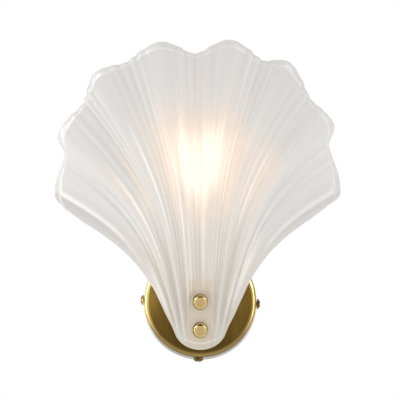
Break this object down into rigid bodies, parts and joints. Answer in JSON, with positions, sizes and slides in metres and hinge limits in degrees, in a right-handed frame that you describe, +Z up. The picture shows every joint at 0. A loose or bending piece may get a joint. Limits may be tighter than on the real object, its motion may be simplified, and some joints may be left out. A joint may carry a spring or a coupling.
{
  "type": "wall sconce",
  "caption": "Wall light: fluted scallop of frosted glass held by cap nuts in front of a round brass canopy, with an upright globe bulb behind the glass.",
  "frame": {"origin": "centre of the canopy, on the wall, midway between the two slots for the wall screws", "axes": "+X to the right of someone who faces the wall, +Y into the wall, +Z up; the wall is Y = 0"},
  "size_m": [0.2536, 0.1183, 0.2767],
  "materials": {
    "canopy_brass": "brushed face, polished edge and side, lacquered",
    "polished_brass": "polished",
    "strap_brass": "satin",
    "contact_brass": "bright",
    "zinc_steel": "zinc plated",
    "frosted_glass": "frosted, pressed",
    "opal_glass": "opal, lit",
    "clear_glass": "clear",
    "black_glass": "glossy, moulded in the cap",
    "nickel_cap": "bright",
    "solder": "dull",
    "filament": "coated",
    "holder_plastic": "moulded, fine grain",
    "block_nylon": "moulded nylon",
    "lead_sheath": "extruded sheath",
    "core_brown": "extruded insulation",
    "core_blue": "extruded insulation",
    "black_rubber": "moulded",
    "clear_silicone": "soft, moulded"
  },
  "bodies": {
    "root": {"wall_plate": "zinc_steel", "entry_bush": "black_rubber", "earth_screw": "zinc_steel", "earth_washer": "zinc_steel", "terminal_block": "block_nylon", "terminal_barrels": "contact_brass", "terminal_screws": "zinc_steel", "canopy": "canopy_brass", "side_screws": "polished_brass", "lead_bush": "black_rubber", "lamp_lead": "lead_sheath", "core_live": "core_brown", "core_neutral": "core_blue", "glass_strap": "strap_brass", "strap_screws": "zinc_steel", "glass_bolts": "zinc_steel", "rear_pads": "clear_silicone", "hole_sleeves": "clear_silicone", "glass_shell": "frosted_glass", "front_washers": "clear_silicone", "upper_cap_nut": "polished_brass", "lower_cap_nut": "polished_brass", "lamp_arm": "strap_brass", "arm_screws": "zinc_steel", "nipple": "zinc_steel", "nipple_nut": "zinc_steel", "holder_base": "holder_plastic", "holder_body": "holder_plastic", "screw_sleeve": "contact_brass", "centre_contact": "contact_brass"},
    "bulb_carrier": {"bulb_tip": "solder"},
    "bulb": {"bulb_insulator": "black_glass", "bulb_cap": "nickel_cap", "bulb_globe": "opal_glass", "bulb_stem": "clear_glass", "bulb_filaments": "filament"}
  },
  "joints": [
    {"name": "bulb_lift", "type": "slide", "parent": "root", "child": "bulb_carrier", "axis": [0, 0, 1], "range_m": [0, 0.01694]},
    {"name": "bulb_turn", "type": "hinge", "parent": "bulb_carrier", "child": "bulb", "pos_m": [0, -0.045, 0.1], "axis": [0, 0, 1], "range_deg": [0, 2160]}
  ],
  "couplings": [
    {"joint": "bulb_lift", "follows": "bulb_turn", "m_per_rad": 0.00044914}
  ]
}
